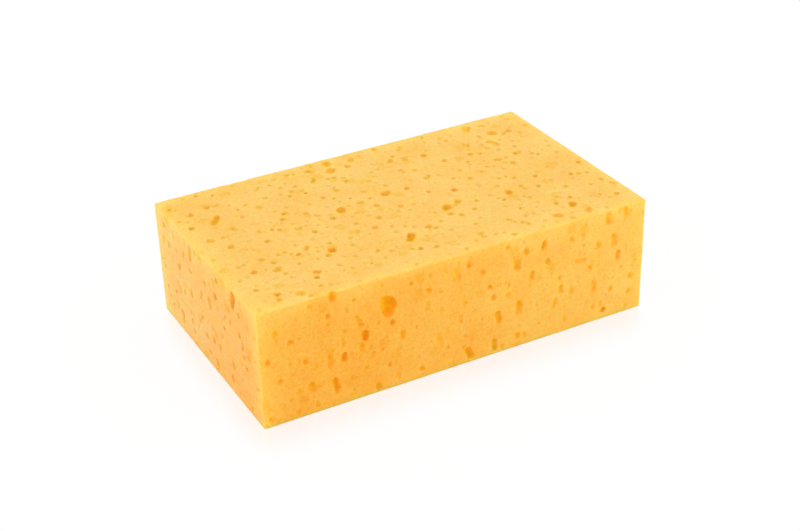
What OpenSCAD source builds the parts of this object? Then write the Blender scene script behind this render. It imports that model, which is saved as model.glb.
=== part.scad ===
// Cleaning sponge: one block of open-celled foam, cut square on all six sides.
// Lengths are millimetres. The origin is at the middle of the base, +Z is up,
// the long side lies along X and the front faces -Y.

/* [Block] */
// Length of the block, from left to right
block_length = 170; // [120:5:220]
// Depth of the block, from front to back
block_depth = 100; // [70:5:140]
// Height of the block
block_height = 50; // [30:5:70]

/* [Pores] */
// Width of the smallest scattered pore
pore_min = 1.7; // [1.2:0.1:2]
// Width of the widest scattered pore on a side with chosen large pores
pore_mid = 3; // [2.4:0.1:3.6]
// Width of the widest scattered pore on a side without them
pore_max = 4.2; // [3.6:0.1:5]
// Distance from one scattered pore to the next
pore_pitch = 10.5; // [9:0.5:20]
// How much longer than wide a pore is on an upright side, where the foam rose
pore_rise = 1.45; // [1.2:0.05:1.7]
// How far the rising foam leans to the left
pore_lean = 8; // [0:1:20]
// Thinnest wall of foam between a scattered pore and a large one
pore_wall = 0.8; // [0.4:0.1:1.2]
// Thinnest wall of foam between a scattered pore and an edge of the block
edge_wall = 1.7; // [0.8:0.1:3]
// Seed of the scattered pores
pore_seed = 11; // [1:1:99]

/* [Hidden] */

// Depth of a pore as a share of its width, from the shallowest to the deepest
depth_share = [0.32, 0.66];
// How unevenly the widths are spread: small pores are the more common
width_power = 1.4;
// Share of its cell that a scattered pore may wander over
wander = 0.5;
// Share of a cell by which every other line and column is set aside
stagger = 0.25;
// How much longer than wide a pore has to be to take two bubbles
twin_run = 0.8;
// Distance, as a share of the width, past which two bubbles need a throat
twin_share = 0.6;
// Radius of the throat as a share of the bubbles' own
throat_share = 0.94;
// Width from which a pore is made of bubbles and no longer a tapered pit
large_width = 3.1;
// How much a tapered pit's radius grows along its length, as a share of that length
pit_flare = 0.25;
// Sides of a bubble's circles, enough for a true ball
bubble_sides = 16;
// Random numbers that one scattered pore draws
draws = 6;
// Seeds that are set aside for one choice of pore_seed, and for one side
choice_seeds = 10000;
side_seeds = 1000;

// The large pores of a side, one row each: place along the side and up it, both
// in percent of the side, then width, length, depth, and the length's angle.
TOP_PORES = [
    [44.3, 95.5, 4, 5, 2.2, 60],
    [50.5, 93.3, 2.8, 4, 1.5, 60],
    [43.7, 88.7, 3.4, 4.8, 1.8, 45],
    [37.6, 84.3, 2.4, 5, 1.5, 65],
    [9.1, 73.3, 3, 7.4, 1.9, 55],
    [4.5, 59, 2.8, 4, 1.5, 160],
    [28.6, 58, 3, 3.6, 1.2, 60],
    [36.5, 55.5, 3.4, 5, 2.4, 65],
    [49.5, 59, 3.8, 4.8, 2, 20],
    [15.6, 55.5, 3.2, 3.2, 1.3, 0],
    [24, 50, 3.4, 3.4, 1.3, 0],
    [26.3, 28.5, 3.6, 3.8, 2.3, 0],
    [24.5, 25.7, 2.6, 2.8, 1.6, 70],
    [12.1, 25.6, 3.6, 3.6, 1.5, 0],
    [21.5, 34.5, 2.2, 4.4, 1.3, 50],
    [18.9, 16.5, 2.8, 3.6, 1.6, 150],
    [44, 22, 2.8, 7, 2.6, 55],
    [50, 25.5, 3, 3.2, 1.6, 0],
    [46.8, 10.2, 2.8, 3.2, 1.3, 0],
    [12, 6, 3, 4, 1.7, 140],
    [7, 5.7, 2.4, 3, 1.2, 150],
    [58.5, 36, 3.8, 4.8, 2.3, 150],
    [62, 38, 3.6, 3.8, 1.6, 0],
    [58.4, 10, 3.2, 3.8, 1.4, 20],
    [63.3, 29, 2.2, 3, 1.5, 60],
    [74.5, 34, 3.2, 4.4, 1.8, 70],
    [84.1, 12.2, 3.2, 5, 2, 60],
    [85.6, 4.6, 2.8, 3.8, 1.6, 30],
    [78.2, 7.2, 2.8, 3.8, 1.4, 150],
    [84, 93.7, 3.4, 6.4, 1.9, 60],
    [88.4, 85, 4.2, 5.2, 2, 110],
    [85.4, 76.7, 3, 5.4, 1.6, 120],
    [58.4, 83.6, 2.2, 4.2, 1.4, 50],
    [62, 82.5, 2.8, 4.2, 1.5, 80],
    [67, 81, 3, 3.6, 1.3, 0],
    [81.7, 61.5, 2.4, 4, 1.3, 160],
    [84, 55.5, 3, 3.6, 1.3, 20],
    [97.6, 42, 2.6, 3, 1.3, 0]
];
FRONT_PORES = [
    [31.2, 77.5, 5.6, 5.6, 2.8, 0],
    [31.9, 74.5, 5, 5, 3.6, 0],
    [30.5, 80.5, 3.4, 3.4, 2, 0],
    [30.4, 74, 3.6, 3.6, 2, 0],
    [31.2, 69, 4.2, 4.2, 3, 0],
    [32.2, 58.5, 2.2, 2.8, 1.8, 120],
    [18, 96.2, 3.4, 4.4, 2.2, 90],
    [25.4, 54.8, 3.2, 4.8, 2.4, 105],
    [24.2, 66.5, 2.8, 4.4, 1.5, 110],
    [24.5, 45.5, 2.6, 3.8, 1.4, 95],
    [27.3, 36, 1.8, 2.6, 1.3, 105],
    [25.4, 26, 2.2, 3, 1.4, 105],
    [16.6, 43, 3.4, 7, 1.5, 93],
    [20.1, 41.5, 2.4, 4.2, 1.9, 90],
    [12, 24.2, 3.4, 5, 1.8, 102],
    [18, 19, 2.8, 6.4, 2.1, 105],
    [28.3, 5.8, 2.6, 3.8, 1.8, 110],
    [41.1, 63.5, 3.2, 4.8, 1.3, 90],
    [34.6, 44.8, 2.6, 4.8, 1.2, 88],
    [43.9, 30, 3, 6.8, 1.2, 102],
    [51.8, 8.8, 3.2, 5.8, 2, 112],
    [58.6, 8.8, 2.8, 5.8, 2, 98],
    [59.6, 33.5, 3.2, 6.2, 1.9, 103],
    [65.1, 36, 3.4, 7, 1.8, 92],
    [64.5, 75.3, 3.4, 5.2, 1.9, 95],
    [68.5, 61.8, 3, 4.6, 1.4, 95],
    [72.8, 70.5, 2.6, 3.6, 1.6, 95],
    [71.8, 85.7, 2.6, 4.4, 1.7, 92],
    [58.3, 52.5, 2.2, 3.4, 1.4, 95],
    [48.6, 83.5, 4, 7, 1.3, 97],
    [51.8, 89, 2.8, 4, 1.4, 95],
    [76.8, 41, 2.4, 3.8, 1.4, 95],
    [74.9, 30, 2, 4.4, 1.3, 78],
    [78, 13, 2.8, 4.6, 1.1, 95],
    [81.9, 61.8, 2.4, 5.4, 1.3, 170],
    [83.1, 93, 2.4, 3, 1.3, 110],
    [85.8, 15, 2.6, 3, 1.3, 0],
    [86, 34, 3.4, 6.8, 1.2, 85],
    [86.8, 71.3, 3.4, 4.6, 1.3, 90],
    [89, 7.8, 3, 3.6, 1.8, 90],
    [89.5, 92.3, 3.2, 6, 1.7, 97],
    [91.3, 71, 3.4, 6.4, 1.7, 97],
    [92.6, 55.7, 2.8, 5, 1.7, 88],
    [94.3, 94, 2.8, 5.2, 1.5, 100],
    [96.6, 33.5, 3.6, 4.2, 1.5, 90]
];
LEFT_PORES = [
    [78.2, 89.5, 4, 8.4, 2.4, 75],
    [54, 61.5, 4, 6, 1.4, 90],
    [45.5, 60, 2.6, 5, 1.1, 70],
    [36.5, 88, 2.8, 6.6, 1.2, 80],
    [6.8, 73, 3, 4.4, 1.1, 80],
    [21.3, 14, 3.4, 6.6, 1.5, 90],
    [34.3, 50, 2.6, 4.6, 1.1, 85],
    [21.2, 39.5, 2.4, 4, 1, 95],
    [84.5, 56.5, 2.4, 3.6, 1.1, 80],
    [90.7, 53, 2.4, 4, 1.1, 85],
    [61, 28.5, 2.4, 4, 1, 90],
    [47.5, 25.5, 3, 3.8, 1.1, 60],
    [56.8, 8, 3, 4.4, 1.2, 100]
];

// Moves a pore onto a side: x runs along the side, y up it and z out of it.
module on_top() {
    translate([-block_length / 2, -block_depth / 2, block_height])
        children();
}

module on_base() {
    translate([-block_length / 2, block_depth / 2, 0])
        rotate([180, 0, 0])
            children();
}

module on_front() {
    translate([-block_length / 2, -block_depth / 2, 0])
        rotate([90, 0, 0])
            children();
}

module on_back() {
    translate([block_length / 2, block_depth / 2, 0])
        rotate([90, 0, 180])
            children();
}

module on_left() {
    translate([-block_length / 2, block_depth / 2, 0])
        rotate([90, 0, -90])
            children();
}

module on_right() {
    translate([block_length / 2, -block_depth / 2, 0])
        rotate([90, 0, 90])
            children();
}

// Radius of the ball that leaves a pit of the given width and depth at z = 0.
function ball_radius(width, depth) = (depth * depth + width * width / 4) / (2 * depth);

// One open bubble: the part of a ball that a cut at z = 0 leaves as a pit.
module bubble(width, depth) {
    radius = ball_radius(width, depth);
    translate([0, 0, radius - depth])
        sphere(r = radius, $fn = bubble_sides);
}

// The throat between two bubbles whose middles lie a given run apart.
module throat(width, run, depth) {
    radius = ball_radius(width, depth);
    translate([-run / 2, 0, radius - depth])
        rotate([0, 90, 0])
            cylinder(r = radius * throat_share, h = run, $fn = bubble_sides);
}

// A large pore: one bubble, or two that have run together along its length.
module large_pore(width, length, depth, angle) {
    run = length - width;
    rotate([0, 0, angle]) {
        if (run < twin_run)
            bubble(width, depth);
        else
            for (end = [-run, run] / 2)
                translate([end, 0, 0])
                    bubble(width, depth);
        if (run > width * twin_share)
            throat(width, run, depth);
    }
}

// A small pore: a blunt tapered pit, slanted where it is longer than wide.
module small_pore(width, length, depth, angle) {
    slant = acos(width / length);
    reach = width * tan(slant) + pore_min;
    rotate([0, slant, angle])
        translate([0, 0, -depth])
            rotate([0, 0, 90])
                cylinder(
                    r1 = width / 2 - pit_flare * depth,
                    r2 = width / 2 + pit_flare * reach,
                    h = depth + reach,
                    $fn = bubble_sides
                );
}

// A pore of either kind.
module pore(width, length, depth, angle) {
    if (width < large_width)
        small_pore(width, length, depth, angle);
    else
        large_pore(width, length, depth, angle);
}

// The large pores of a side of the given size.
module chosen_pores(rows, size) {
    for (row = rows)
        translate([row[0] * size[0] / 100, row[1] * size[1] / 100, 0])
            large_pore(row[2], row[3], row[4], row[5]);
}

// Wall of foam that is left between a pore and the large pore of one row.
function wall_left(place, width, row, size) =
    norm(place - [row[0] * size[0], row[1] * size[1]] / 100) - (row[3] + width) / 2;

// Whether a pore of the given width stays clear of every large one.
function is_clear(place, width, rows, size) =
    len([for (row = rows) if (wall_left(place, width, row, size) < pore_wall) row]) == 0;

// A place moved inwards where it is nearer to the side's edges than the margin.
function inside(place, margin, size) =
    [for (k = [0, 1]) min(max(place[k], margin), size[k] - margin)];

// Small pores scattered over a side, one in each cell of a grid.
module scattered_pores(rows, size, widest, rise, seed) {
    columns = floor(size[0] / pore_pitch);
    lines = floor(size[1] / pore_pitch);
    cell = [size[0] / columns, size[1] / lines];
    for (i = [0 : columns - 1], j = [0 : lines - 1]) {
        r = rands(0, 1, draws, seed + i + j * columns);
        width = pore_min + (widest - pore_min) * pow(r[0], width_power);
        length = width * (1 + (rise - 1) * (0.5 + r[1]));
        depth = width * (depth_share[0] + (depth_share[1] - depth_share[0]) * r[2]);
        strayed = [
            (i + 0.5 + (r[3] - 0.5) * wander + (j % 2 - 0.5) * 2 * stagger) * cell[0],
            (j + 0.5 + (r[4] - 0.5) * wander + (i % 2 - 0.5) * 2 * stagger) * cell[1]
        ];
        place = inside(strayed, length / 2 + edge_wall, size);
        if (is_clear(place, length, rows, size))
            translate([place[0], place[1], 0])
                pore(width, length, depth, 90 + pore_lean * 2 * r[5]);
    }
}

// All pores of one side.
module side_pores(rows, size, rise, number) {
    widest = len(rows) > 0 ? pore_mid : pore_max;
    chosen_pores(rows, size);
    seed = pore_seed * choice_seeds + number * side_seeds;
    scattered_pores(rows, size, widest, rise, seed);
}

module foam_block() {
    plan = [block_length, block_depth];
    long_side = [block_length, block_height];
    short_side = [block_depth, block_height];
    color("sandybrown")
        difference() {
            translate([-block_length / 2, -block_depth / 2, 0])
                cube([block_length, block_depth, block_height]);
            on_top()
                side_pores(TOP_PORES, plan, 1, 1);
            on_base()
                side_pores([], plan, 1, 2);
            on_front()
                side_pores(FRONT_PORES, long_side, pore_rise, 3);
            on_back()
                side_pores([], long_side, pore_rise, 4);
            on_left()
                side_pores(LEFT_PORES, short_side, pore_rise, 5);
            on_right()
                side_pores([], short_side, pore_rise, 6);
        }
}

foam_block();
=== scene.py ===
"""Looks of a cleaning sponge: one block of open-celled foam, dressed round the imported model.

Lengths are metres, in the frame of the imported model: the origin is at the middle of the base, +Z is
up, the long side lies along X and the front faces -Y.
"""

import logging
import math
import random
from dataclasses import dataclass, field
from enum import Enum
from typing import Any, Union

import bmesh
import bpy
from mathutils import Matrix, Vector, noise


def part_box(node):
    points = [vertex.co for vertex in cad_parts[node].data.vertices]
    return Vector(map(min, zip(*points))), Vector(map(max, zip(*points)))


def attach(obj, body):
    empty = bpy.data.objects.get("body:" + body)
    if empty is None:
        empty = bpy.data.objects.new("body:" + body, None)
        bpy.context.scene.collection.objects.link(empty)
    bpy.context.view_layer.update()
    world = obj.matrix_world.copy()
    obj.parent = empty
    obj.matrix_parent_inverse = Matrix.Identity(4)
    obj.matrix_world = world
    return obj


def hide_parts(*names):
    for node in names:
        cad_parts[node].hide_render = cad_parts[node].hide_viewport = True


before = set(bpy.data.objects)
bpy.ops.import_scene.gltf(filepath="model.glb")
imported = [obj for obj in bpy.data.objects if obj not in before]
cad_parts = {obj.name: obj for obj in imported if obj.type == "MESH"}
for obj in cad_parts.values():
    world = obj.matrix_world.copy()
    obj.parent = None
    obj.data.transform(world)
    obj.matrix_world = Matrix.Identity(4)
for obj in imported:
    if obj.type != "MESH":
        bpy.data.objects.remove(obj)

MM = 0.001
# Points of a mesh that lie closer together than this are one point.
WELD = 1e-6
# Points that lie closer to a plane than this are on it.
TOUCH = 1e-7
NODE = "foam_block"
BODY = "root"

log = logging.getLogger("sponge")

Colour = tuple[float, float, float]
Place = tuple[float, float, float]
WHITE: Colour = (1.0, 1.0, 1.0)


class Side(Enum):
    """A side of the block, by its outward direction."""

    TOP = (0, 0, 1)
    BASE = (0, 0, -1)
    FRONT = (0, -1, 0)
    BACK = (0, 1, 0)
    LEFT = (-1, 0, 0)
    RIGHT = (1, 0, 0)

    @property
    def normal(self) -> Vector:
        """The side's outward direction as a vector."""
        return Vector(self.value)

    @property
    def upright(self) -> bool:
        """Whether the foam rose along this side and drew its pores out."""
        return self.normal.z == 0

    @property
    def along(self) -> Vector:
        """The level direction that runs along the side."""
        return Vector((1, 0, 0)) if self.normal.x == 0 else Vector((0, 1, 0))

    @property
    def up(self) -> Vector:
        """The direction that runs up the side."""
        return self.normal.cross(self.along)


# --------------------------------------------------------------------------------------------------
# Shader maths
# --------------------------------------------------------------------------------------------------

Number = Union["Wire", float]


class Wire:
    """A shader socket on which sums are written as Python expressions."""

    def __init__(self, tree: "Tree", socket: bpy.types.NodeSocket) -> None:
        """Wraps a socket.

        Args:
            tree: the tree that the socket's node is in.
            socket: the output to wrap.
        """
        self.tree = tree
        self.socket = socket

    def math(self, operation: str, *values: Number) -> "Wire":
        """Adds a Math node.

        Args:
            operation: the node's operation.
            values: its inputs, in order.

        Returns:
            The node's result.
        """
        return self.tree.node("ShaderNodeMath", {"operation": operation}, dict(enumerate(values)))

    def __add__(self, other: Number) -> "Wire":
        """self + other."""
        return self.math("ADD", self, other)

    def __sub__(self, other: Number) -> "Wire":
        """self - other."""
        return self.math("SUBTRACT", self, other)

    def __rsub__(self, other: Number) -> "Wire":
        """other - self."""
        return self.math("SUBTRACT", other, self)

    def __mul__(self, other: Number) -> "Wire":
        """self * other."""
        return self.math("MULTIPLY", self, other)

    def __abs__(self) -> "Wire":
        """The size of self, without its sign."""
        return self.math("ABSOLUTE", self)

    def least(self, other: Number) -> "Wire":
        """The smaller of self and other."""
        return self.math("MINIMUM", self, other)

    def most(self, other: Number) -> "Wire":
        """The larger of self and other."""
        return self.math("MAXIMUM", self, other)

    def root(self) -> "Wire":
        """The square root of self."""
        return self.math("SQRT", self)

    def fade(self, start: float, end: float) -> "Wire":
        """Fades smoothly from 0 at start to 1 at end.

        Args:
            start: the value that gives 0.
            end: the value that gives 1.

        Returns:
            The faded value.
        """
        settings = {"interpolation_type": "SMOOTHSTEP"}
        inputs = {"Value": self, "From Min": start, "From Max": end}
        return self.tree.node("ShaderNodeMapRange", settings, inputs)


class Tree:
    """The node tree of one material or of the world."""

    def __init__(self, owner: Union[bpy.types.Material, bpy.types.World], output: str) -> None:
        """Empties the owner's tree and gives it a new output.

        Args:
            owner: the material or world to write.
            output: the type of its output node.
        """
        owner.use_nodes = True
        self.nodes = owner.node_tree.nodes
        self.links = owner.node_tree.links
        self.nodes.clear()
        self.output = self.nodes.new(output)

    def node(self, kind: str, settings: dict[str, Any], inputs: dict[Any, Any],
             output: Union[str, int] = 0) -> Wire:
        """Adds one node.

        Args:
            kind: the node's type.
            settings: its own settings, set first.
            inputs: a value or a wire for each socket, by name or by number.
            output: the output that is wanted.

        Returns:
            The wanted output.
        """
        node = self.nodes.new(kind)
        for name, value in settings.items():
            setattr(node, name, value)
        for name, value in inputs.items():
            self.put(node.inputs[name], value)
        return Wire(self, node.outputs[output])

    def put(self, socket: bpy.types.NodeSocket, value: Any) -> None:
        """Links a wire to a socket, or sets a plain value on it.

        Args:
            socket: the input.
            value: a wire, or what the socket holds.
        """
        if isinstance(value, Wire):
            self.links.new(value.socket, socket)
        elif socket.type == "RGBA" and len(value) == 3:
            socket.default_value = (*value, 1.0)
        else:
            socket.default_value = value

    def mix(self, share: Number, a: Any, b: Any) -> Wire:
        """Mixes two colours.

        Args:
            share: how much of the second is taken.
            a: the first colour.
            b: the second colour.

        Returns:
            The mixed colour.
        """
        return self.node("ShaderNodeMix", {"data_type": "RGBA"}, {0: share, 6: a, 7: b}, 2)

    def stain(self, share: Number, colour: Any, tint: Any) -> Wire:
        """Multiplies a colour by a tint.

        Args:
            share: how much of the tint is taken.
            colour: the colour.
            tint: what it is multiplied by.

        Returns:
            The stained colour.
        """
        settings = {"data_type": "RGBA", "blend_type": "MULTIPLY"}
        return self.node("ShaderNodeMix", settings, {0: share, 6: colour, 7: tint}, 2)

    def place(self) -> list[Wire]:
        """The place on the object in metres: as a vector, and then its X, Y and Z."""
        whole = self.node("ShaderNodeTexCoord", {}, {}, "Object")
        parts = [self.node("ShaderNodeSeparateXYZ", {}, {0: whole}, i) for i in range(3)]
        return [whole, *parts]

    def noise(self, place: Wire, size: float, detail: float) -> Wire:
        """Cloudy noise from 0 to 1.

        Args:
            place: where it is read.
            size: about the size of one cloud.
            detail: how many finer layers it has.

        Returns:
            The noise.
        """
        inputs = {"Vector": place, "Scale": 1 / size, "Detail": detail}
        return self.node("ShaderNodeTexNoise", {}, inputs)

    def cells(self, place: Wire, size: float) -> Wire:
        """Round cells: 0 in the middle of each, about 1 at its walls.

        Args:
            place: where it is read.
            size: the width of one cell.

        Returns:
            The distance from the nearest middle.
        """
        inputs = {"Vector": place, "Scale": 1 / size}
        return self.node("ShaderNodeTexVoronoi", {"feature": "F1"}, inputs, "Distance")

    def mix_shader(self, share: Number, a: Wire, b: Wire) -> Wire:
        """Mixes two shaders.

        Args:
            share: how much of the second is taken.
            a: the first shader.
            b: the second shader.

        Returns:
            The mixed shader.
        """
        return self.node("ShaderNodeMixShader", {}, {0: share, 1: a, 2: b})

    def seen(self) -> Wire:
        """1 where the surface is seen, directly or mirrored, and 0 for the light it sends on."""
        rays = ("Is Camera Ray", "Is Glossy Ray", "Is Transmission Ray")
        camera, mirrored, through = (self.node("ShaderNodeLightPath", {}, {}, ray) for ray in rays)
        return camera.most(mirrored).most(through)

    def finish(self, shader: Wire) -> None:
        """Sends a shader to the tree's output.

        Args:
            shader: the finished shader.
        """
        self.links.new(shader.socket, self.output.inputs["Surface"])


# --------------------------------------------------------------------------------------------------
# Finishes
# --------------------------------------------------------------------------------------------------


@dataclass(frozen=True)
class Where:
    """Where on the block a shaded point lies.

    Attributes:
        place: the point itself.
        depth: how far it lies inside the nearest cut face.
        height: how far it lies above the base.
        across: from -2 at the front left corner to 2 at the back right one.
        on_end: 1 on the ends, 0 on the long sides.
        on_flat: 1 on the top and the base, 0 on the four sides.
        to_top_edge: how far it lies from the nearest edge of the top.
        to_upright_edge: how far it lies from the nearest upright edge.
    """

    place: Wire
    depth: Wire
    height: Wire
    across: Wire
    on_end: Wire
    on_flat: Wire
    to_top_edge: Wire
    to_upright_edge: Wire

    @classmethod
    def on_block(cls, tree: Tree, low: Vector, high: Vector, turn: float) -> "Where":
        """Works it out for a block of a given size.

        Args:
            tree: the tree that the sums go in.
            low: the block's lowest corner.
            high: the block's highest corner.
            turn: how sharply one side turns into the next.

        Returns:
            Where the shaded point lies.
        """
        place, *axes = tree.place()
        middle = (low + high) / 2
        half = (high - low) / 2
        inset = [half[i] - abs(axes[i] - middle[i]) for i in range(3)]
        round_the_sides = inset[0].least(inset[1])
        return cls(
            place=place,
            depth=round_the_sides.least(inset[2]),
            height=axes[2] - low.z,
            across=axes[0] * (1 / half.x) + axes[1] * (1 / half.y),
            on_end=(inset[1] - inset[0]).fade(-turn, turn),
            on_flat=(round_the_sides - inset[2]).fade(-turn, turn),
            to_top_edge=round_the_sides.most(high.z - axes[2]),
            to_upright_edge=inset[0].most(inset[1]),
        )


@dataclass(frozen=True)
class FoamFinish:
    """Matt yellow foam: painted highlight makes it paler at the cut edges, and painted shade makes it
    ochre in shallow pores and orange in deep ones.

    Attributes:
        flat: the colour of the top and the base, partly the foam's own and mostly painted light,
            palest as the top is lit from above.
        long_side: the colour of the long sides, mostly painted light, where that painted light is
            least.
        long_side_lit: the same where the painted light is most.
        end_side: the colour of the ends, mostly painted light, where that painted light is least.
        end_side_lit: the same where the painted light is most.
        pale_grain_and_edge_highlight: the palest colour, both the painted highlight along the top
            edges and the real paler grain.
        yellow: the yellower colour of the painted highlight along the upright edges.
        shallow_pore_shade: painted shade, what the colour is multiplied by just inside a pore.
        pore_painted_glow: painted glow, what it is multiplied by as well in the pores of the long
            sides, which lifts their red.
        deep_pore_shade: painted shade and glow, what it is multiplied by again at the bottom of a
            deep pore.
        hidden_tint: what it is multiplied by over a pore that lies just under the surface.
        grain_tint: what it is multiplied by in the darkest grain.
        cloud_tint: what it is multiplied by in the darkest of the large faint clouds.
        foot_painted_light: painted light, what it is multiplied by at the foot, which the floor keeps
            from the light.
        turn: how sharply the colour changes from one side to the next.
        light: where, across the block, the painted light on the sides is least and most.
        highlight_bands: how far the painted highlight at an edge reaches: most of it, and all of it.
        highlight_share: how much of the painted highlight each of these bands adds at the edge
            itself.
        stray: how far the reach of an edge's painted highlight strays along it.
        foot: how far up the painted light at the foot reaches.
        shallow_depths: the depths at which the shallow painted shade starts and is whole.
        deep_depths: the depths at which the deep painted shade starts and is whole.
        cell: the width of one foam cell.
        grit: the size of the finest grain.
        mottle: the size of the coarse grain.
        cloud: the size of the large faint clouds.
        details: how many finer layers the grit, the mottle and the clouds have.
        grain_shares: how much the cells, the grit and the mottle count in the grain.
        grain_pale: how much of the palest colour the palest grain holds.
        cloud_levels: where in the clouds' noise their tint starts and is whole.
        hidden: the spacing of the pores that lie just under the surface.
        hidden_reach: where such a pore fades out: from, and to, as shares of the spacing.
        hidden_stray: how far the mottle makes its outline stray, as a share of the spacing.
        relief: the height of the cell walls.
        relief_strength: how much of that relief shows.
        relief_shares: how much the cells and the grit count in the relief.
        roughness: the roughness between the grit, and how much the grit takes from it.
        specular: the level of the mirrored light.
        scatter: how far red, green and blue light spread in the foam, as shares of spread.
        spread: how far the light that spreads most gets.
    """

    # Side colours: partly the foam's own, mostly painted light, the top palest and the sides paling
    # from the front left to the back right.
    flat: Colour = (0.857, 0.536, 0.148)
    long_side: Colour = (0.857, 0.442, 0.063)
    long_side_lit: Colour = (0.857, 0.542, 0.118)
    end_side: Colour = (0.857, 0.431, 0.121)
    end_side_lit: Colour = (0.857, 0.538, 0.196)
    # Painted highlight colours for the edges; the first also gives the real paler grain.
    pale_grain_and_edge_highlight: Colour = (0.857, 0.680, 0.172)
    yellow: Colour = (0.857, 0.690, 0.137)
    # Painted shade and glow in the pores.
    shallow_pore_shade: Colour = (1.0, 1.015, 0.60)
    pore_painted_glow: Colour = (1.065, 1.0, 1.0)
    deep_pore_shade: Colour = (1.045, 0.97, 0.25)
    hidden_tint: Colour = (0.975, 0.905, 0.64)
    grain_tint: Colour = (0.95, 0.78, 0.50)
    cloud_tint: Colour = (1.0, 0.92, 0.78)
    # Painted light at the foot of the block.
    foot_painted_light: Colour = (1.10, 1.04, 0.97)
    turn: float = 1.2 * MM
    light: tuple[float, float] = (-2.0, 0.3)
    highlight_bands: tuple[float, float] = (6 * MM, 14 * MM)
    highlight_share: float = 0.2
    stray: float = 4 * MM
    foot: float = 8 * MM
    shallow_depths: tuple[float, float] = (0.15 * MM, 0.8 * MM)
    deep_depths: tuple[float, float] = (0.8 * MM, 2.4 * MM)
    cell: float = 0.75 * MM
    grit: float = 0.28 * MM
    mottle: float = 1.6 * MM
    cloud: float = 14 * MM
    details: tuple[float, float, float] = (2.0, 3.0, 4.0)
    grain_shares: tuple[float, float, float] = (1.2, 3.0, 2.1)
    grain_pale: float = 0.28
    cloud_levels: tuple[float, float] = (0.35, 0.7)
    hidden: float = 10 * MM
    hidden_reach: tuple[float, float] = (0.13, 0.31)
    hidden_stray: float = 0.3
    relief: float = 0.1 * MM
    relief_strength: float = 0.8
    relief_shares: tuple[float, float] = (0.6, 0.5)
    roughness: tuple[float, float] = (0.95, 0.08)
    specular: float = 0.08
    scatter: Colour = (1.0, 0.28, 0.075)
    spread: float = 4.8 * MM

    def sides(self, tree: Tree, where: Where) -> Wire:
        """The colour of each side, partly the foam's own and mostly painted light that pales towards
        the back right.

        Args:
            tree: the material's tree.
            where: where the shaded point lies.

        Returns:
            The colour.
        """
        # Painted light: the sides turn paler from the front left corner towards the back right.
        light = where.across.fade(*self.light)
        long_side = tree.mix(light, self.long_side, self.long_side_lit)
        end_side = tree.mix(light, self.end_side, self.end_side_lit)
        return tree.mix(where.on_flat, tree.mix(where.on_end, long_side, end_side), self.flat)

    def painted_edge_highlight(self, tree: Tree, where: Where, clouds: Wire, colour: Wire) -> Wire:
        """Paints highlight along the edges: paler along the top edges and yellower along the upright
        ones.

        Args:
            tree: the material's tree.
            where: where the shaded point lies.
            clouds: large faint clouds, by which the reach strays.
            colour: the colour so far.

        Returns:
            The new colour.
        """
        # Painted highlight: the edges are made paler, as if lit from two sides.
        edges = ((where.to_upright_edge, self.yellow), (where.to_top_edge, self.pale_grain_and_edge_highlight))
        for to_edge, highlight_colour in edges:
            strayed = to_edge + (clouds - 0.5) * self.stray
            for reach in self.highlight_bands:
                share = (1.0 - strayed.fade(0.0, reach)) * self.highlight_share
                colour = tree.mix(share, colour, highlight_colour)
        return colour

    def grained(self, tree: Tree, where: Where, grains: list[Wire], colour: Wire) -> Wire:
        """Adds the grain, and the pores that show faintly through the surface.

        Args:
            tree: the material's tree.
            where: where the shaded point lies.
            grains: the cells, the grit and the mottle.
            colour: the colour so far.

        Returns:
            The new colour.
        """
        cells, grit, mottle = ((g - 0.5) * share for g, share in zip(grains, self.grain_shares))
        grain = cells + grit + mottle
        colour = tree.mix(grain.most(0.0) * self.grain_pale, colour, self.pale_grain_and_edge_highlight)
        colour = tree.stain((grain * -1.0).most(0.0), colour, self.grain_tint)
        under = tree.cells(where.place, self.hidden) + (grains[2] - 0.5) * self.hidden_stray
        return tree.stain(1.0 - under.fade(*self.hidden_reach), colour, self.hidden_tint)

    def painted_pore_shade_and_foot_light(self, tree: Tree, where: Where, colour: Wire) -> Wire:
        """Paints shade and glow into the pores by their depth, after painted light at the foot of the
        block.

        Args:
            tree: the material's tree.
            where: where the shaded point lies.
            colour: the colour so far.

        Returns:
            The new colour.
        """
        foot_light_share = 1.0 - where.height.fade(0.0, self.foot)
        in_pore = where.depth.fade(*self.shallow_depths)
        on_long_side = (1.0 - where.on_flat) * (1.0 - where.on_end)
        # Painted light at the foot, which lifts the colour where the floor's contact shadow falls.
        colour = tree.stain(foot_light_share, colour, self.foot_painted_light)
        # Painted shade in the pores, more orange with depth, with painted glow lifting the red on the
        # long sides.
        colour = tree.stain(in_pore, colour, self.shallow_pore_shade)
        colour = tree.stain(in_pore * on_long_side, colour, self.pore_painted_glow)
        return tree.stain(where.depth.fade(*self.deep_depths), colour, self.deep_pore_shade)

    def make(self, low: Vector, high: Vector) -> bpy.types.Material:
        """Makes the foam's material for a block of a given size.

        Args:
            low: the block's lowest corner.
            high: the block's highest corner.

        Returns:
            The material.
        """
        material = bpy.data.materials.new("foam")
        tree = Tree(material, "ShaderNodeOutputMaterial")
        where = Where.on_block(tree, low, high, self.turn)
        cells = tree.cells(where.place, self.cell)
        sizes = (self.grit, self.mottle, self.cloud)
        grit, mottle, clouds = (tree.noise(where.place, size, detail)
                                for size, detail in zip(sizes, self.details))

        colour = self.sides(tree, where)
        colour = self.painted_edge_highlight(tree, where, clouds, colour)
        colour = self.grained(tree, where, [cells, grit, mottle], colour)
        colour = tree.stain(clouds.fade(*self.cloud_levels), colour, self.cloud_tint)
        colour = self.painted_pore_shade_and_foot_light(tree, where, colour)

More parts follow.
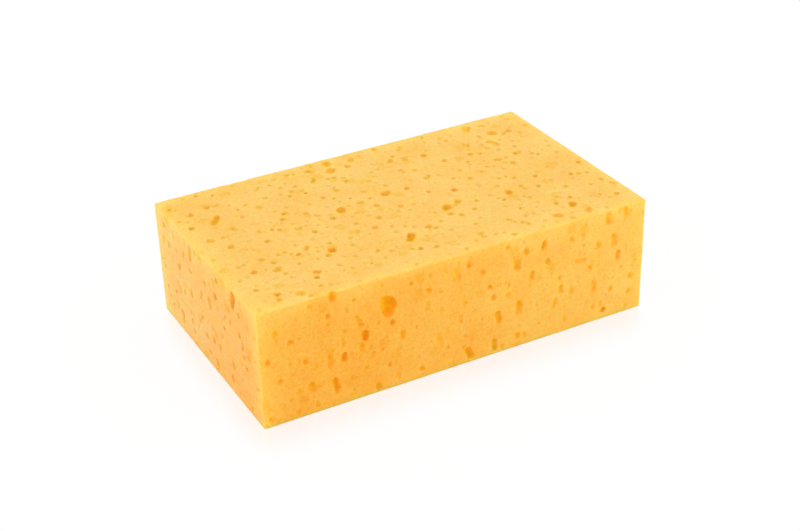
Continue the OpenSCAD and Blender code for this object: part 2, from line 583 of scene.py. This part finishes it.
        cell_share, grit_share = self.relief_shares
        bump = tree.node("ShaderNodeBump", {}, {
            "Strength": self.relief_strength,
            "Distance": self.relief,
            "Height": cells * cell_share + grit * grit_share,
        })
        rough, smoother = self.roughness
        tree.finish(tree.node("ShaderNodeBsdfPrincipled", {"subsurface_method": "RANDOM_WALK"}, {
            "Base Color": colour,
            "Roughness": rough - grit * smoother,
            "Specular IOR Level": self.specular,
            "Subsurface Weight": 1.0,
            "Subsurface Radius": self.scatter,
            "Subsurface Scale": self.spread,
            "Normal": bump,
        }))
        return material


@dataclass(frozen=True)
class FloorFinish:
    """A white table with a faint shadow, and a faint reflection close to the block.

    Attributes:
        colour: the table's own colour.
        white: how much of what is seen of the table is plain white.
        gloss: how much of it is the reflection, right beside the block.
        blur: the roughness of the reflection.
        reach: how far from the ends and from the long sides the reflection fades out.
    """

    colour: Colour = (0.95, 0.95, 0.95)
    white: float = 0.93
    gloss: float = 0.155
    blur: float = 0.25
    reach: tuple[float, float] = (12 * MM, 22 * MM)

    def make(self, low: Vector, high: Vector) -> bpy.types.Material:
        """Makes the floor's material.

        Args:
            low: the block's lowest corner.
            high: the block's highest corner.

        Returns:
            The material.
        """
        material = bpy.data.materials.new("floor")
        tree = Tree(material, "ShaderNodeOutputMaterial")
        _, *axes = tree.place()
        middle = (low + high) / 2
        half = (high - low) / 2
        across, deep = ((abs(axes[i] - middle[i]) - half[i]).most(0.0) * (1 / self.reach[i])
                        for i in range(2))
        beside = 1.0 - (across * across + deep * deep).root().fade(0.0, 1.0)
        diffuse = tree.node("ShaderNodeBsdfDiffuse", {}, {"Color": self.colour})
        white = tree.node("ShaderNodeEmission", {}, {"Color": WHITE, "Strength": 1.0})
        gloss = tree.node("ShaderNodeBsdfAnisotropic", {}, {"Color": WHITE, "Roughness": self.blur})
        table = tree.mix_shader(tree.seen() * self.white, diffuse, white)
        tree.finish(tree.mix_shader(tree.seen() * beside * self.gloss, table, gloss))
        return material


# --------------------------------------------------------------------------------------------------
# Meshes
# --------------------------------------------------------------------------------------------------


def as_object(mesh: bmesh.types.BMesh, name: str) -> bpy.types.Object:
    """Turns a bmesh into an object of the scene.

    Args:
        mesh: the bmesh, which is freed.
        name: the object's name.

    Returns:
        The object.
    """
    data = bpy.data.meshes.new(name)
    mesh.to_mesh(data)
    mesh.free()
    made = bpy.data.objects.new(name, data)
    bpy.context.scene.collection.objects.link(made)
    return made


def applied(piece: bpy.types.Object) -> bpy.types.Object:
    """Applies a piece's modifiers.

    Args:
        piece: the piece.

    Returns:
        The same piece, with no modifiers.
    """
    bpy.context.view_layer.update()
    depsgraph = bpy.context.evaluated_depsgraph_get()
    old = piece.data
    data = bpy.data.meshes.new_from_object(piece.evaluated_get(depsgraph))
    piece.modifiers.clear()
    piece.data = data
    bpy.data.meshes.remove(old)
    data.name = piece.name
    return piece


def cut(piece: bpy.types.Object, other: bpy.types.Object, operation: str) -> None:
    """Adds a Boolean modifier.

    Args:
        piece: the piece that is cut.
        other: what it is cut with.
        operation: INTERSECT or DIFFERENCE.
    """
    modifier = piece.modifiers.new(operation.lower(), "BOOLEAN")
    modifier.operation = operation
    modifier.solver = "MANIFOLD"
    modifier.object = other


# --------------------------------------------------------------------------------------------------
# The block
# --------------------------------------------------------------------------------------------------


@dataclass
class Pit:
    """One small open pore.

    Attributes:
        centre: the middle of its mouth.
        side: the side it opens on.
        width: the width of its mouth.
        rise: how much longer than wide it is.
        sink: how far its ball's middle lies under the surface, as a share of the ball's radius.
        lean: the angle between its length and the way up the side.
    """

    centre: Vector
    side: Side
    width: float
    rise: float
    sink: float
    lean: float

    @property
    def length(self) -> float:
        """The length of its mouth."""
        return self.width * self.rise

    def clear_of(self, other: "Pit", gap: float) -> bool:
        """Tells whether two pits lie far enough apart.

        Args:
            other: the other pit.
            gap: the least distance between their middles, as a share of their lengths' sum.

        Returns:
            Whether they do.
        """
        return (self.centre - other.centre).length >= (self.length + other.length) * gap

    def matrix(self) -> Matrix:
        """Where the pit's ball goes, with its size.

        Returns:
            The matrix that places a ball of radius 1.
        """
        radius = self.width / 2 / math.sqrt(1 - self.sink ** 2)
        turn = Matrix((self.side.along, self.side.up, self.side.normal)).transposed().to_4x4()
        spin = Matrix.Rotation(self.lean, 4, "Z")
        size = Matrix.Diagonal((radius, radius * self.rise, radius, 1.0))
        centre = self.centre - self.side.normal * self.sink * radius
        return Matrix.Translation(centre) @ turn @ spin @ size


@dataclass
class FoamBlock:
    """The block of foam: cut faces, worn edges, large pores from the model and small ones here.

    Attributes:
        low: the lowest corner of the model's block.
        high: the highest corner of the model's block.
        skin: how far the cut faces lie inside the model's own.
        wear: how far handling rounded the cut edges.
        wear_steps: how many faces make that rounding.
        patch: the width of the patches that a face is divided into.
        sway: the most that a cut face strays inwards from a true plane.
        sway_size: the length of that waviness.
        sway_layers: its layers, each with its length and its height as shares of the whole's.
        kept: the share of the model's triangles that is kept for the large pores.
        uneven: how far a large pore's wall strays, in small steps and in large ones.
        uneven_sizes: the lengths of those steps.
        calm: the distance from a cut edge at which the large pores' walls stray fully.
        seed: the seed of the small pores.
        pit_widths: the narrowest and the widest small pore.
        pit_power: how much commoner the narrow ones are; 1 makes all widths as common.
        pit_spread: how much wider they are on the top and the base.
        pit_pitch: the spacing of small pores.
        pit_rise: how much longer than wide they are on an upright side.
        pit_draw: the least and the most share of that lengthening that one of them has.
        pit_lean: the most that they lean.
        pit_sink: how shallow and how deep they are, as in Pit.
        pit_wall: the least foam between a small pore and a cut edge.
        pit_gap: the least distance between two, as a share of the sum of their lengths.
        pit_tries: how many places are tried for each one that is wanted.
        ragged: how far a small pore's wall strays from round, as a share of its radius.
        ragged_size: the length of those strays, as a share of its radius.
        batch: how many small pores are made in one mesh, which is quicker than all in one.
        cell_size: the size of the little cubes in which the cut block is cast anew.
        soften: how often the cast block is smoothed, which rounds the rims of its pores.
        soften_share: how far each smoothing moves a point towards its neighbours' middle.
        triangles: about how many triangles the finished block has.
        finish: the foam's material.
    """

    low: Vector
    high: Vector
    skin: float = 0.02 * MM
    wear: float = 0.35 * MM
    wear_steps: int = 3
    patch: float = 3.4 * MM
    sway: float = 0.14 * MM
    sway_size: float = 18 * MM
    sway_layers: tuple[tuple[float, float], ...] = ((1.0, 0.7), (0.25, 0.3))
    kept: float = 0.3
    uneven: tuple[float, float] = (0.25 * MM, 0.5 * MM)
    uneven_sizes: tuple[float, float] = (1.4 * MM, 3.5 * MM)
    calm: float = 3 * MM
    seed: int = 5
    pit_widths: tuple[float, float] = (1.1 * MM, 2.4 * MM)
    pit_power: float = 1.5
    pit_spread: float = 1.16
    pit_pitch: float = 6.2 * MM
    pit_rise: float = 1.5
    pit_draw: tuple[float, float] = (0.3, 1.4)
    pit_lean: float = math.radians(16)
    pit_sink: tuple[float, float] = (-0.65, 0.1)
    pit_wall: float = 1.2 * MM
    pit_gap: float = 0.75
    pit_tries: int = 3
    ragged: float = 0.22
    ragged_size: float = 1.3
    batch: int = 40
    cell_size: float = 0.32 * MM
    soften: int = 6
    soften_share: float = 0.5
    triangles: int = 185_000
    finish: FoamFinish = field(default_factory=FoamFinish)

    @property
    def middle(self) -> Vector:
        """The middle of the block."""
        return (self.low + self.high) / 2

    @property
    def half(self) -> Vector:
        """Half the block's size."""
        return (self.high - self.low) / 2

    def core(self) -> bpy.types.Object:
        """The plain block: worn edges, and faces divided into patches that stray a little.

        Returns:
            The block.
        """
        mesh = bmesh.new()
        size = [2 * (half - self.skin) for half in self.half]
        placed = Matrix.Translation(self.middle) @ Matrix.Diagonal((*size, 1.0))
        bmesh.ops.create_cube(mesh, size=1.0, matrix=placed)
        bmesh.ops.bevel(mesh, geom=mesh.edges[:], offset=self.wear, affect="EDGES",
                        segments=self.wear_steps, profile=0.5, material=-1)
        for axis in range(3):
            count = max(2, round(size[axis] / self.patch))
            for i in range(1, count):
                self.divide(mesh, axis, size[axis] * (i / count - 0.5))
        mesh.normal_update()
        for vertex in mesh.verts:
            vertex.co -= vertex.normal * self.sway * self.wave(vertex.co)
        return as_object(mesh, "core")

    def divide(self, mesh: bmesh.types.BMesh, axis: int, offset: float) -> None:
        """Divides the faces of a mesh by a plane across an axis.

        Args:
            mesh: the mesh.
            axis: the axis, by its number.
            offset: how far the plane lies from the middle of the block.
        """
        point = self.middle
        point[axis] += offset
        normal = Vector((0, 0, 0))
        normal[axis] = 1
        geometry = mesh.verts[:] + mesh.edges[:] + mesh.faces[:]
        bmesh.ops.bisect_plane(mesh, geom=geometry, plane_co=point, plane_no=normal, dist=TOUCH)

    def wave(self, place: Vector) -> float:
        """How far a cut face strays at a place, as a share of the most.

        Args:
            place: the place.

        Returns:
            The share.
        """
        return sum(share * (noise.noise(place / (self.sway_size * length)) * 0.5 + 0.5)
                   for length, share in self.sway_layers)

    def large_pores(self) -> bpy.types.Object:
        """Copies the model's block with its large pores, lightened and made ragged.

        Returns:
            The copy.
        """
        copy = bmesh.new()
        copy.from_mesh(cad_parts[NODE].data)
        bmesh.ops.remove_doubles(copy, verts=copy.verts[:], dist=WELD)
        piece = as_object(copy, "large_pores")
        lighter = piece.modifiers.new("lighter", "DECIMATE")
        lighter.ratio = self.kept
        piece = applied(piece)
        for vertex in piece.data.vertices:
            vertex.co += self.unevenness(vertex.co)
        return piece

    def unevenness(self, place: Vector) -> Vector:
        """How far a large pore's wall strays at a place. A rim stays in its cut face.

        Args:
            place: the place.

        Returns:
            The way that the wall moves there.
        """
        offset = Vector((0, 0, 0))
        for height, size in zip(self.uneven, self.uneven_sizes):
            offset += noise.noise_vector(place / size) * height
        inset = [h - abs(p - m) for h, p, m in zip(self.half, place, self.middle)]
        for axis in range(3):
            if inset[axis] < self.skin / 2:
                offset[axis] = 0.0
        return offset * min(1.0, sorted(inset)[1] / self.calm)

    def pits(self) -> list[Pit]:
        """Scatters the small pores over all six sides.

        Returns:
            The small pores.
        """
        rng = random.Random(self.seed)
        return [pit for side in Side for pit in self.pits_on(side, rng)]

    def pits_on(self, side: Side, rng: random.Random) -> list[Pit]:
        """Scatters the small pores of one side, with none on top of another.

        Args:
            side: the side.
            rng: what draws the random numbers.

        Returns:
            The side's small pores.
        """
        reach = Vector([abs(v) for v in side.along]).dot(self.half)
        height = Vector([abs(v) for v in side.up]).dot(self.half)
        count = round(4 * reach * height / self.pit_pitch ** 2)
        found: list[Pit] = []
        for _ in range(count * self.pit_tries):
            if len(found) >= count:
                break
            pit = self.pit_on(side, reach, height, rng)
            if all(pit.clear_of(other, self.pit_gap) for other in found):
                found.append(pit)
        return found

    def pit_on(self, side: Side, reach: float, height: float, rng: random.Random) -> Pit:
        """Draws one small pore.

        Args:
            side: the side that it opens on.
            reach: half the side's length.
            height: half its height.
            rng: what draws the random numbers.

        Returns:
            The small pore.
        """
        narrow, wide = self.pit_widths
        face = self.middle + Vector([n * h for n, h in zip(side.normal, self.half)])
        width = narrow + (wide - narrow) * rng.random() ** self.pit_power
        width *= 1.0 if side.upright else self.pit_spread
        rise = 1 + (self.pit_rise - 1) * rng.uniform(*self.pit_draw) * side.upright
        margin = width * rise / 2 + self.pit_wall
        centre = (face + side.along * rng.uniform(margin - reach, reach - margin)
                  + side.up * rng.uniform(margin - height, height - margin))
        sink = rng.uniform(*self.pit_sink)
        lean = rng.uniform(-1, 1) * (self.pit_lean if side.upright else math.pi)
        return Pit(centre, side, width, rise, sink, lean)

    def small_pores(self, pits: list[Pit]) -> bpy.types.Object:
        """Makes ragged balls of the small pores, to be taken out of the block.

        Args:
            pits: the small pores.

        Returns:
            All balls as one object.
        """
        whole = bmesh.new()
        for start in range(0, len(pits), self.batch):
            part = bmesh.new()
            for pit in pits[start:start + self.batch]:
                made = bmesh.ops.create_icosphere(part, subdivisions=2, radius=1.0,
                                                  matrix=pit.matrix())
                self.roughen(made["verts"], pit.width / 2)
            mesh = bpy.data.meshes.new("batch")
            part.to_mesh(mesh)
            part.free()
            whole.from_mesh(mesh)
            bpy.data.meshes.remove(mesh)
        return as_object(whole, "small_pores")

    def roughen(self, vertices: list[bmesh.types.BMVert], radius: float) -> None:
        """Moves a small pore's vertices a little, so that it isn't round.

        Args:
            vertices: the vertices to move.
            radius: the pore's radius.
        """
        for vertex in vertices:
            offset = noise.noise_vector(vertex.co / (radius * self.ragged_size))
            vertex.co += offset * radius * self.ragged

    def cast(self, piece: bpy.types.Object) -> bpy.types.Object:
        """Casts the cut block anew in little cubes and smooths it, so that all rims are soft.

        Args:
            piece: the cut block.

        Returns:
            The same block, at the wanted number of triangles.
        """
        remesh = piece.modifiers.new("cast", "REMESH")
        remesh.mode = "VOXEL"
        remesh.voxel_size = self.cell_size
        smooth = piece.modifiers.new("soften", "SMOOTH")
        smooth.factor = self.soften_share
        smooth.iterations = self.soften
        piece = applied(piece)
        quads = len(piece.data.polygons)
        log.info("cast block: %d faces", quads)
        lighter = piece.modifiers.new("lighter", "DECIMATE")
        lighter.ratio = self.triangles / (2 * quads)
        return applied(piece)

    def dress(self, piece: bpy.types.Object) -> None:
        """Gives the block its finish and tells the frame what it stands for.

        Args:
            piece: the finished block.
        """
        piece.data.materials.clear()
        piece.data.materials.append(self.finish.make(self.low, self.high))
        for polygon in piece.data.polygons:
            polygon.material_index = 0
            polygon.use_smooth = True
        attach(piece, BODY)
        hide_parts(NODE)

    def build(self) -> bpy.types.Object:
        """Builds the whole block and dresses it.

        Returns:
            The finished piece.
        """
        block = self.core()
        block.name = "foam"
        large = self.large_pores()
        pits = self.pits()
        small = self.small_pores(pits)
        cut(block, large, "INTERSECT")
        cut(block, small, "DIFFERENCE")
        block = applied(block)
        log.info("cut block: %d faces, %d small pores", len(block.data.polygons), len(pits))
        for tool in (large, small):
            bpy.data.objects.remove(tool)
        block = self.cast(block)
        self.dress(block)
        return block


# --------------------------------------------------------------------------------------------------
# The studio
# --------------------------------------------------------------------------------------------------


@dataclass
class Lamp:
    """One soft square lamp that points at the block.

    Attributes:
        name: the lamp's name.
        place: where it hangs, from the middle of the block.
        size: its width.
        power: its power in watts.
    """

    name: str
    place: Place
    size: float
    power: float

    def build(self, middle: Vector) -> None:
        """Hangs the lamp.

        Args:
            middle: the middle of the block.
        """
        light = bpy.data.lights.new(self.name, "AREA")
        light.shape = "SQUARE"
        light.size = self.size
        light.energy = self.power
        made = bpy.data.objects.new(self.name, light)
        made.location = middle + Vector(self.place)
        made.rotation_euler = (-Vector(self.place)).to_track_quat("-Z", "Y").to_euler()
        bpy.context.scene.collection.objects.link(made)


@dataclass
class Studio:
    """A white table, soft light and the camera.

    Attributes:
        low: the block's lowest corner.
        high: the block's highest corner.
        table: how far the table reaches from the middle of the block.
        room_light: the strength of the light that comes from all round.
        lamps: the lamps.
        lens: the camera's focal length.
        azimuth: how far the camera stands round to the left of the front.
        elevation: how far it looks down.
        roll: how far it is turned about its own axis.
        distance: its distance from the middle of the block, in lengths of the block.
        shift: how far it is moved to its right and up, in lengths of the block.
        near: the least distance at which it sees anything.
    """

    low: Vector
    high: Vector
    table: float = 3.0
    room_light: float = 0.965
    lamps: tuple[Lamp, ...] = (
        Lamp("overhead", (-0.2, 0.25, 1.1), 1.0, 1.1),
        Lamp("front_right", (0.55, -1.0, 0.5), 0.8, 2.5),
        Lamp("left", (-1.0, -0.25, 0.45), 0.8, 1.5),
    )
    lens: float = 69.53
    azimuth: float = math.radians(-27.89)
    elevation: float = math.radians(30.08)
    roll: float = math.radians(-1.61)
    distance: float = 3.708
    shift: tuple[float, float] = (0.0, -0.0246)
    near: float = 10 * MM

    @property
    def middle(self) -> Vector:
        """The middle of the block."""
        return (self.low + self.high) / 2

    def floor(self) -> None:
        """Lays the table under the block."""
        mesh = bmesh.new()
        bmesh.ops.create_grid(mesh, x_segments=1, y_segments=1, size=self.table)
        table = as_object(mesh, "table")
        table.data.materials.append(FloorFinish().make(self.low, self.high))

    def world(self) -> None:
        """Fills the room with soft light, in front of a white background."""
        world = bpy.data.worlds.new("room")
        bpy.context.scene.world = world
        tree = Tree(world, "ShaderNodeOutputWorld")
        room = tree.node("ShaderNodeBackground", {}, {"Color": WHITE, "Strength": self.room_light})
        behind = tree.node("ShaderNodeBackground", {}, {"Color": WHITE, "Strength": 1.0})
        tree.finish(tree.mix_shader(tree.seen(), room, behind))

    def camera(self) -> None:
        """Sets up the camera."""
        back = Vector((math.sin(self.azimuth) * math.cos(self.elevation),
                       -math.cos(self.azimuth) * math.cos(self.elevation),
                       math.sin(self.elevation)))
        right = (-back).cross(Vector((0, 0, 1))).normalized()
        up = right.cross(-back)
        turn = Matrix((right, up, back)).transposed().to_4x4() @ Matrix.Rotation(self.roll, 4, "Z")
        right, up = (turn.col[i].to_3d() for i in range(2))
        data = bpy.data.cameras.new("camera")
        data.lens = self.lens
        data.clip_start = self.near
        made = bpy.data.objects.new("camera", data)
        place = self.middle + (back * self.distance + right * self.shift[0]
                               + up * self.shift[1]) * (self.high.x - self.low.x)
        made.matrix_world = Matrix.Translation(place) @ turn
        bpy.context.scene.collection.objects.link(made)
        bpy.context.scene.camera = made

    def build(self) -> None:
        """Builds the whole studio."""
        self.floor()
        self.world()
        for lamp in self.lamps:
            lamp.build(self.middle)
        self.camera()
        bpy.context.scene.view_settings.view_transform = "Standard"


def main() -> None:
    """Builds the block and the studio."""
    logging.basicConfig(level=logging.INFO, format="%(name)s: %(message)s")
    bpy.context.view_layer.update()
    low, high = (Vector(corner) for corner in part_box(NODE))
    Studio(low, high).build()
    block = FoamBlock(low, high).build()
    log.info("foam: %d faces", len(block.data.polygons))


if __name__ == "__main__":
    main()
